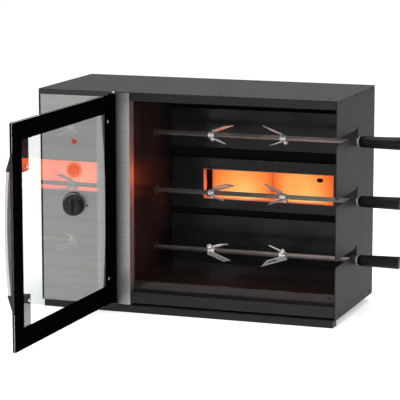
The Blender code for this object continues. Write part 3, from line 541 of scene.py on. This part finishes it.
def piece(name, bm, look, body, smooth=True):
    """Turns a bmesh into a named piece that rides on a body and takes a slot's finish."""
    bmesh.ops.recalc_face_normals(bm, faces=bm.faces)
    mesh = mesh_from(name, bm)
    if smooth:
        mesh.shade_smooth()
        mesh.set_sharp_from_angle(angle=SHARP)
    return place_mesh(name, mesh, look, body)


def place_mesh(name, mesh, look, body, matrix=Matrix.Identity(4)):
    """Adds the mesh as a piece of a body; look is used only if the mesh has no material yet."""
    obj = link_object(name, mesh)
    if not mesh.materials:
        mesh.materials.append(LOOKS[look])
    obj.matrix_world = matrix
    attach(obj, body)
    return obj


def round_edges(obj, width, segments=3):
    bevel = obj.modifiers.new("edges", "BEVEL")
    bevel.width = width
    bevel.segments = segments
    bevel.limit_method = "ANGLE"
    bevel.angle_limit = SHARP
    bevel.harden_normals = True
    obj.data.shade_smooth()


def turned(profile, sides=32, radius_at=None):
    """A closed turned body along +Z from (height, radius) points; radius_at may vary it by angle."""
    bm = bmesh.new()
    rings = []
    for height, radius in profile:
        ring = []
        for k in range(sides if radius > 0 else 1):
            angle = 2 * math.pi * k / sides
            reach = radius_at(height, radius, angle) if radius_at else radius
            ring.append(bm.verts.new((reach * math.cos(angle), reach * math.sin(angle), height)))
        rings.append(ring)
    for low, high in zip(rings, rings[1:]):
        for k in range(sides):
            corners = [low[k % len(low)], low[(k + 1) % len(low)],
                       high[(k + 1) % len(high)], high[k % len(high)]]
            unique = list(dict.fromkeys(corners))
            if len(unique) > 2:
                bm.faces.new(unique)
    for ring in (rings[0], rings[-1]):
        if len(ring) > 1:
            bm.faces.new(ring)
    return bm


def slab(outline, low, high, hole=None):
    """A plate in X and Z between two values of Y, with an optional hole that has as many points."""
    bm = bmesh.new()
    rings = []
    for points in (outline, hole) if hole else (outline,):
        rings.append([[bm.verts.new((x, y, z)) for x, z in points] for y in (low, high)])
    for near, far in rings:
        for k in range(len(near)):
            n = (k + 1) % len(near)
            bm.faces.new([near[k], near[n], far[n], far[k]])
    for side in (0, 1):
        if not hole:
            bm.faces.new(rings[0][side])
            continue
        outer, inner = rings[0][side], rings[1][side]
        for k in range(len(outer)):
            n = (k + 1) % len(outer)
            bm.faces.new([outer[k], outer[n], inner[n], inner[k]])
    return bm


def arc(centre, radius, start, end, steps):
    """Points on a circle, angles in degrees."""
    angles = [math.radians(start + (end - start) * k / steps) for k in range(steps + 1)]
    return [(centre[0] + radius * math.cos(a), centre[1] + radius * math.sin(a)) for a in angles]


def rounded_box(low, high, radius, steps=5):
    """The outline of a rounded rectangle between two corners."""
    corners = (((high[0], high[1]), 0), ((low[0], high[1]), 90), ((low[0], low[1]), 180),
               ((high[0], low[1]), 270))
    points = []
    for (x, z), turn in corners:
        centre = (x - math.copysign(radius, x - (low[0] + high[0]) / 2),
                  z - math.copysign(radius, z - (low[1] + high[1]) / 2))
        points += arc(centre, radius, turn, turn + 90, steps)
    return points


# ---------------------------------------------------------------- fasteners
def screw_head_mesh(radius, height, look):
    """A domed head along +Z, seated at the origin, with a cross recess."""
    steps = 6
    dome = [(0.0, radius * 0.94)]
    dome += [(height * (0.35 + 0.65 * math.sin(math.pi / 2 * k / steps)),
              radius * math.cos(math.pi / 2 * k / steps)) for k in range(steps)]
    dome.append((height, 0.0))
    bm = turned(dome, 28)
    bmesh.ops.recalc_face_normals(bm, faces=bm.faces)
    head = link_object("screw_head_draft", mesh_from("screw_head", bm))
    blade_size, blade_centre = (radius * 1.15, radius * 0.26, height), (0, 0, height * 0.98)
    cutters = []
    for turn in (0.0, math.pi / 2):
        blade = mesh_from("recess", box_bmesh(blade_centre, blade_size, turn))
        cutters.append(link_object("recess_draft", blade))
    for cutter in cutters:
        modifier = head.modifiers.new("recess", "BOOLEAN")
        modifier.object = cutter
        modifier.operation = "DIFFERENCE"
    depsgraph = bpy.context.evaluated_depsgraph_get()
    finished = bpy.data.meshes.new_from_object(head.evaluated_get(depsgraph))
    for obj in (head, *cutters):
        bpy.data.objects.remove(obj)
    finished.shade_smooth()
    finished.set_sharp_from_angle(angle=SHARP)
    finished.materials.clear()
    finished.materials.append(LOOKS[look])
    return finished


def put_screws(prefix, mesh, body, places, normal, within=Matrix.Identity(4)):
    """The same head at each place, facing along normal, each turned a little differently."""
    facing = Vector(normal).to_track_quat("Z", "Y").to_matrix().to_4x4()
    for number, place in enumerate(places, 1):
        turn = Matrix.Rotation(math.radians(23 + 61 * number), 4, "Z")
        matrix = within @ Matrix.Translation(place) @ facing @ turn
        place_mesh(f"{prefix}_{number}", mesh, None, body, matrix)


def build_screws():
    dark = screw_head_mesh(0.0034, 0.0011, "dark_paint")
    bright = screw_head_mesh(0.0032, 0.0016, "chrome")
    top_z = SHELL_TOP
    inset = 0.032
    row = FACE_Y + inset
    right = SIDE_X - 0.023
    step = 0.234
    top_places = [(right - step * k, row, top_z) for k in range(3)]
    back_row = BACK_Y - 0.020
    top_places += [(right - step * k, back_row, top_z) for k in range(3)]
    put_screws("cover_screw", dark, "cabinet", top_places, (0, 0, 1))
    side_places = [(SIDE_X, FACE_Y + 0.0304, top_z - 0.006), (SIDE_X, FACE_Y + 0.151, top_z - 0.006),
                   (SIDE_X, BACK_Y - 0.020, top_z - 0.006), (SIDE_X, FACE_Y + 0.030, 0.024),
                   (SIDE_X, BACK_Y - 0.020, 0.024)]
    put_screws("right_side_screw", dark, "cabinet", side_places, (1, 0, 0))
    low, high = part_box("rear_panel")
    margin = 0.010
    columns = [low.x + margin, (low.x + high.x) / 2, high.x - margin]
    rear_places = [(x, BACK_Y, z) for x in columns for z in (low.z + margin, high.z - margin)]
    put_screws("rear_screw", bright, "cabinet", rear_places, (0, 1, 0))


# ---------------------------------------------------------------- door
def door_box(node):
    """A door node's box with the door shut: X from the hinge axis, -Y outwards, Z up."""
    inverse = DOOR_PLACE.inverted()
    points = [inverse @ vertex.co for vertex in frame["nodes"][node].data.vertices]
    return [Vector(map(pick, zip(*points))) for pick in (min, max)]


def build_door_print():
    """The black frame printed on the pane's inner face."""
    low, high = door_box("door_glass")
    edge = 0.0009
    free_border, hinge_border, low_border, high_border = 0.0435, 0.0375, 0.0418, 0.0377
    outer = rounded_box((low.x + edge, low.z + edge), (high.x - edge, high.z - edge), 0.0035)
    inner = rounded_box((low.x + hinge_border, low.z + low_border),
                        (high.x - free_border, high.z - high_border), 0.0020)
    inside = high.y + HAIR
    border = piece("door_border_print", slab(outer, inside, inside + PRINT, inner), "print", "door")
    border.matrix_world = DOOR_PLACE


def build_door_screws():
    bright = screw_head_mesh(0.0034, 0.0018, "chrome")
    inside = door_box("door_glass")[1].y + HAIR + PRINT
    hinge_s, mid = 0.022, HINGE.z
    places = [(hinge_s, inside, mid + way * 0.165) for way in (1, -1)]
    for node, near in (("handle_cap_upper", 0), ("handle_cap_lower", 1)):
        low, high = door_box(node)
        z = (low.z + 0.010, high.z - 0.010)[near]
        places.append(((low.x + high.x) / 2 - 0.0085, inside, z))
    put_screws("door_screw", bright, "door", places, (0, 1, 0), DOOR_PLACE)


# ---------------------------------------------------------------- controls
def build_panel_print():
    """Generic marks: a band round the knob that thickens as it turns, a dot, the button's ring."""
    stem_low, stem_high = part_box("valve_stem")
    centre = ((stem_low.x + stem_high.x) / 2, (stem_low.z + stem_high.z) / 2)
    radius, steps = 0.0268, 28
    thin, thick = 0.0013, 0.0026
    start, end = 182, 64
    outer, inner = [], []
    for k in range(steps + 1):
        share = k / steps
        angle = math.radians(start + (end - start) * share)
        for points, side in ((outer, 1), (inner, -1)):
            reach = radius + side * (thin + (thick - thin) * share) / 2
            points.append((centre[0] + reach * math.cos(angle), centre[1] + reach * math.sin(angle)))
    button_low, button_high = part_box("ignition_button")
    ring_centre = (centre[0], (button_low.z + button_high.z) / 2)
    ring, ring_width = 0.0172, 0.0004
    dot_radius, dot_gap = 0.0019, 0.002
    marks = ((outer + inner[::-1], None),
             (arc((centre[0] + radius + dot_gap, centre[1]), dot_radius, 0, 345, 15), None),
             (arc(ring_centre, ring + ring_width, 0, 352, 44), arc(ring_centre, ring, 0, 352, 44)))
    face = FACE_Y - HAIR
    for number, (outline, hole) in enumerate(marks, 1):
        piece(f"panel_mark_{number}", slab(outline, face - PRINT, face, hole), "print", "cabinet",
              smooth=False)


def build_knob_skirt(centre, radius, depth):
    shoulder = depth - 0.006
    profile = [(0.0, radius - 0.002), (0.0012, radius - 0.0002), (0.0030, radius),
               (0.0046, radius - 0.0010), (0.0056, radius - 0.0022),
               (shoulder - 0.0012, radius - 0.0034), (shoulder, radius - 0.0046),
               (shoulder + 0.0004, 0.0)]
    out = Vector((0, -1, 0)).to_track_quat("Z", "Y").to_matrix().to_4x4()
    body = piece("knob_body", turned(profile, 56), "black_plastic", "control_knob")
    body.matrix_world = Matrix.Translation(centre) @ out
    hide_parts("control_knob")


def build_knob():
    """Skirted knob with a finger grip across it and a thin grey pointer."""
    low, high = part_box("control_knob")
    centre = Vector(((low.x + high.x) / 2, high.y, (low.z + high.z) / 2))
    radius = (high.z - low.z) / 2
    depth = high.y - low.y
    build_knob_skirt(centre, radius, depth)
    half, reach, grip_root = 0.0052, radius - 0.0040, 0.008
    outline = rounded_box((-half, -reach), (half, reach), half * 0.9, 6)
    grip = piece("knob_grip", slab(outline, -depth, -grip_root), "black_plastic", "control_knob")
    for vertex in grip.data.vertices:
        if vertex.co.y < -depth * 0.9:
            vertex.co.x *= 0.72
    grip.matrix_world = Matrix.Translation(centre)
    round_edges(grip, 0.0009)
    half = 0.0006
    outline = rounded_box((-half, reach - 0.0085), (half, reach - 0.0012), 0.0005, 3)
    pointer = piece("knob_pointer", slab(outline, -depth, -depth + 0.0004), "grey_plastic",
                    "control_knob")
    pointer.matrix_world = Matrix.Translation(centre - Vector((0, HAIR, 0)))


# ---------------------------------------------------------------- small marks and fittings
def disc(name, centre, normal, radius, thick, look, body):
    """A thin round plug or pin head with a softened rim, standing on a face."""
    profile = [(0.0, radius), (thick * 0.6, radius), (thick, radius * 0.82), (thick, 0.0)]
    facing = Vector(normal).to_track_quat("Z", "Y").to_matrix().to_4x4()
    made = piece(name, turned(profile, 24), look, body)
    made.matrix_world = Matrix.Translation(centre) @ facing
    return made


def build_post_marks():
    """Black discs painted as the shade in the holes of the post's return, and the bowed dark edge where the panel
    meets the hinge.
    """
    low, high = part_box("hinge_post")
    return_y = (FACE_Y + high.y) / 2 - 0.002
    # black discs: painted shade where the holes in the post's return are
    for number, z in enumerate((0.4076, 0.2450, 0.0857), 1):
        disc(f"post_hole_shade_{number}", (high.x + HAIR, return_y, z), (1, 0, 0), 0.0020, 0.0003,
             "print", "cabinet")
    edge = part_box("control_panel")[1].x - 0.0004
    middle, reach = HINGE.z - 0.02, 0.212
    steps = 20
    heights = [middle + reach * (2 * k / steps - 1) for k in range(steps + 1)]
    bowed = [(edge - 0.0175 - 0.0095 * ((z - middle) / reach) ** 2, z) for z in heights]
    straight = [(edge, z) for z in reversed(heights)]
    face = FACE_Y - HAIR
    piece("panel_edge_shade", slab(bowed + straight, face - PRINT, face), "dark_paint",
          "cabinet", smooth=False)


def build_hinge_pin():
    pin_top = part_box("door_hinge_strip")[1].z
    tall = 0.0030
    pin = disc("hinge_pin_head", (HINGE.x, HINGE.y, pin_top - tall), (0, 0, 1), 0.0034, tall,
               "chrome", "door")
    round_edges(pin, 0.0005, 2)


def build_liner_screws():
    low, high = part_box("burner_shroud")
    liner_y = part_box("rear_liner")[0].y
    inset, outset = 0.020, 0.009
    places = [(x, liner_y - HAIR, z) for x in (low.x + inset, high.x - inset)
              for z in (low.z - outset, high.z + outset)]
    head = screw_head_mesh(0.0028, 0.0010, "oiled_steel")
    put_screws("liner_screw", head, "cabinet", places, (0, -1, 0))


def build_electrode_shield():
    """Six-sided plate round the electrode's tip, in front of the right tile."""
    low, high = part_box("ignition_electrode")
    x, y, z = (low.x + high.x) / 2, low.y - 0.0012, low.z + 0.012
    wide, tall, thick = 0.0078, 0.0052, 0.0008
    outline = [(x + wide * math.cos(a), z + tall * math.sin(a))
               for a in (math.tau * k / 6 for k in range(6))]
    piece("electrode_shield", slab(outline, y - thick, y), "print", "cabinet",
          smooth=False)


def build_plinth_ends():
    low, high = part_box("front_plinth")
    thick, margin = 0.0010, 0.0036
    middle_y, middle_z = (low.y + high.y) / 2, (low.z + high.z) / 2
    size = (thick, high.y - low.y - margin, high.z - low.z - margin)
    for side, x in (("left", low.x + 0.0002), ("right", high.x - 0.0012)):
        plate = piece(f"plinth_end_{side}", box_bmesh((x + thick / 2, middle_y, middle_z), size),
                      "dark_paint", "cabinet")
        round_edges(plate, 0.0003, 2)


def build_tray_slot():
    """A black slab painted as the shade in the lug hole at the right of the tray's front lip."""
    low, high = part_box("drip_tray")
    x, z = high.x - 0.014, high.z - 0.007
    wide, tall = 0.0035, 0.0012
    outline = rounded_box((x - wide, z - tall), (x + wide, z + tall), 0.0011, 4)
    # painted shade standing in for the open hole
    piece("tray_slot", slab(outline, low.y - HAIR - PRINT, low.y - HAIR), "print", "drip_tray",
          smooth=False)


def build_fittings():
    build_hinge_pin()
    build_liner_screws()
    build_electrode_shield()
    build_plinth_ends()
    build_tray_slot()


# ---------------------------------------------------------------- spits
def build_spit_handle(name):
    """Fluted handle that swells towards a ringed end."""
    node = f"spit_handle_{name}"
    low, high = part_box(node)
    length, full = high.x - low.x, (high.z - low.z) / 2
    start, end = 0.013, length - 0.010
    flutes, deep = 10, 0.0007

    def fluted(height, radius, angle):
        if not start < height < end:
            return radius
        ease = math.sin(math.pi * (height - start) / (end - start)) ** 0.35
        return radius - deep * ease * (0.5 - 0.5 * math.cos(flutes * angle)) ** 2

    inner = full * 0.64
    profile = [(0.0, inner), (0.0008, inner + 0.0010)]
    profile += [(0.0008 + 0.0060 * k / 4, inner + 0.0010 + 0.0022 * math.sin(math.pi / 2 * k / 4))
                for k in range(1, 5)]
    steps = 18
    profile += [(start + (end - start) * k / steps,
                 inner + 0.0032 + (full - inner - 0.0036) * k / steps) for k in range(steps + 1)]
    profile += [(length - 0.0062, full - 0.0002), (length - 0.0052, full - 0.0010),
                (length - 0.0042, full - 0.0010), (length - 0.0036, full), (length - 0.0018, full),
                (length - 0.0006, full - 0.0010), (length, full - 0.0028), (length, 0.0)]
    handle = piece(f"fluted_handle_{name}", turned(profile, 80, fluted), "handle_plastic",
                   f"spit_{name}")
    along = Vector((1, 0, 0)).to_track_quat("Z", "Y").to_matrix().to_4x4()
    middle = (low + high) / 2
    handle.matrix_world = Matrix.Translation((low.x, middle.y, middle.z)) @ along
    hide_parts(node)


# ---------------------------------------------------------------- stage
def build_floor():
    bm = bmesh.new()
    bmesh.ops.create_grid(bm, x_segments=1, y_segments=1, size=30.0)
    floor = link_object("floor", mesh_from("floor", bm))
    surface = Surface("floor", (0.93, 0.93, 0.93), 0.0, 0.7)
    surface.colour_from(surface.noise(0.7), (0.3, (0.92, 0.92, 0.92)), (0.7, (0.94, 0.94, 0.94)))
    surface.set("Emission Color", (1.0, 1.0, 1.0, 1.0))
    surface.set("Emission Strength", FLOOR_GLOW)
    floor.data.materials.append(surface.material)


def build_world():
    """Soft studio light, a little darker towards the horizon."""
    world = bpy.data.worlds.new("studio")
    bpy.context.scene.world = world
    world.use_nodes = True
    tree = world.node_tree
    background = tree.nodes["Background"]
    coords = tree.nodes.new("ShaderNodeTexCoord")
    parts = tree.nodes.new("ShaderNodeSeparateXYZ")
    ramp = tree.nodes.new("ShaderNodeValToRGB")
    tree.links.new(coords.outputs["Generated"], parts.inputs["Vector"])
    tree.links.new(parts.outputs["Z"], ramp.inputs["Fac"])
    tree.links.new(ramp.outputs["Color"], background.inputs["Color"])
    stops = ((0.0, WORLD_LOW), (0.8, WORLD_HIGH))
    for point, (place, grey) in zip(ramp.color_ramp.elements, stops):
        point.position, point.color = place, (grey, grey, grey, 1.0)
    background.inputs["Strength"].default_value = WORLD_STRENGTH


def add_light(name, place, target, size, power, colour=(1.0, 1.0, 1.0)):
    data = bpy.data.lights.new(name, "AREA")
    data.shape = "RECTANGLE"
    data.size, data.size_y = size
    data.energy = power
    data.color = colour
    light = link_object(name, data)
    light.location = place
    light.rotation_euler = (Vector(target) - Vector(place)).to_track_quat("-Z", "Y").to_euler()
    light.visible_camera = False
    return light


def build_burner_lights():
    """The burner's heat: one lamp seen only in mirrors, and two that only fall on what is near."""
    low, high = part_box("burner_shroud")
    mouth = Vector(((low.x + high.x) / 2, low.y - 0.004, (low.z + high.z) / 2))
    size = (high.x - low.x, high.z - low.z)
    watts = size[0] * size[1] * math.pi          # for a radiance of one
    ahead = mouth - Vector((0, 1, 0))
    mirrored = add_light("burner_mirrored", mouth, ahead, size, watts * MIRRORED_GLOW,
                         (1.0, 0.05, 0.01))
    mirrored.visible_diffuse = False
    glow = add_light("burner_glow", mouth, ahead, size, watts * ROOM_GLOW, (1.0, 0.10, 0.05))
    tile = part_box("ceramic_tile_left")[0].y
    hot = add_light("burner_inside", (mouth.x, tile - 0.0006, mouth.z), ahead, size,
                    watts * INSIDE_GLOW, (1.0, 0.20, 0.09))
    return [glow, hot]


def build_lights():
    middle = (cad_box[0] + cad_box[1]) / 2
    add_light("overhead", (0.2, -0.2, 2.6), middle, (2.4, 2.0), OVERHEAD_WATTS)
    add_light("front", (0.5, -3.4, 1.2), middle, (1.8, 1.2), FRONT_WATTS)
    hidden = build_burner_lights()
    hidden.append(add_light("heat_on_post", (-0.02, 0.05, middle.z), (-0.2, -0.01, middle.z),
                            (0.05, 0.40), POST_WATTS, (1.0, 0.09, 0.07)))
    for lamp in hidden:
        lamp.visible_glossy = False
        lamp.visible_transmission = False


def build_camera():
    data = bpy.data.cameras.new("camera")
    data.lens = 190.29
    data.sensor_width = 36.0
    data.clip_end = 100.0
    camera = link_object("camera", data)
    camera.location = (1.463, -4.057, 0.989)
    camera.rotation_euler = (math.radians(90 - 9.794), 0.0, math.radians(19.470))
    bpy.context.scene.camera = camera


dress_nodes()
build_camera()
build_floor()
build_world()
build_lights()
build_screws()
build_door_print()
build_door_screws()
build_panel_print()
build_post_marks()
build_fittings()
build_knob()
for spit in SPITS:
    build_spit_handle(spit)

bpy.context.scene.view_settings.view_transform = "Standard"
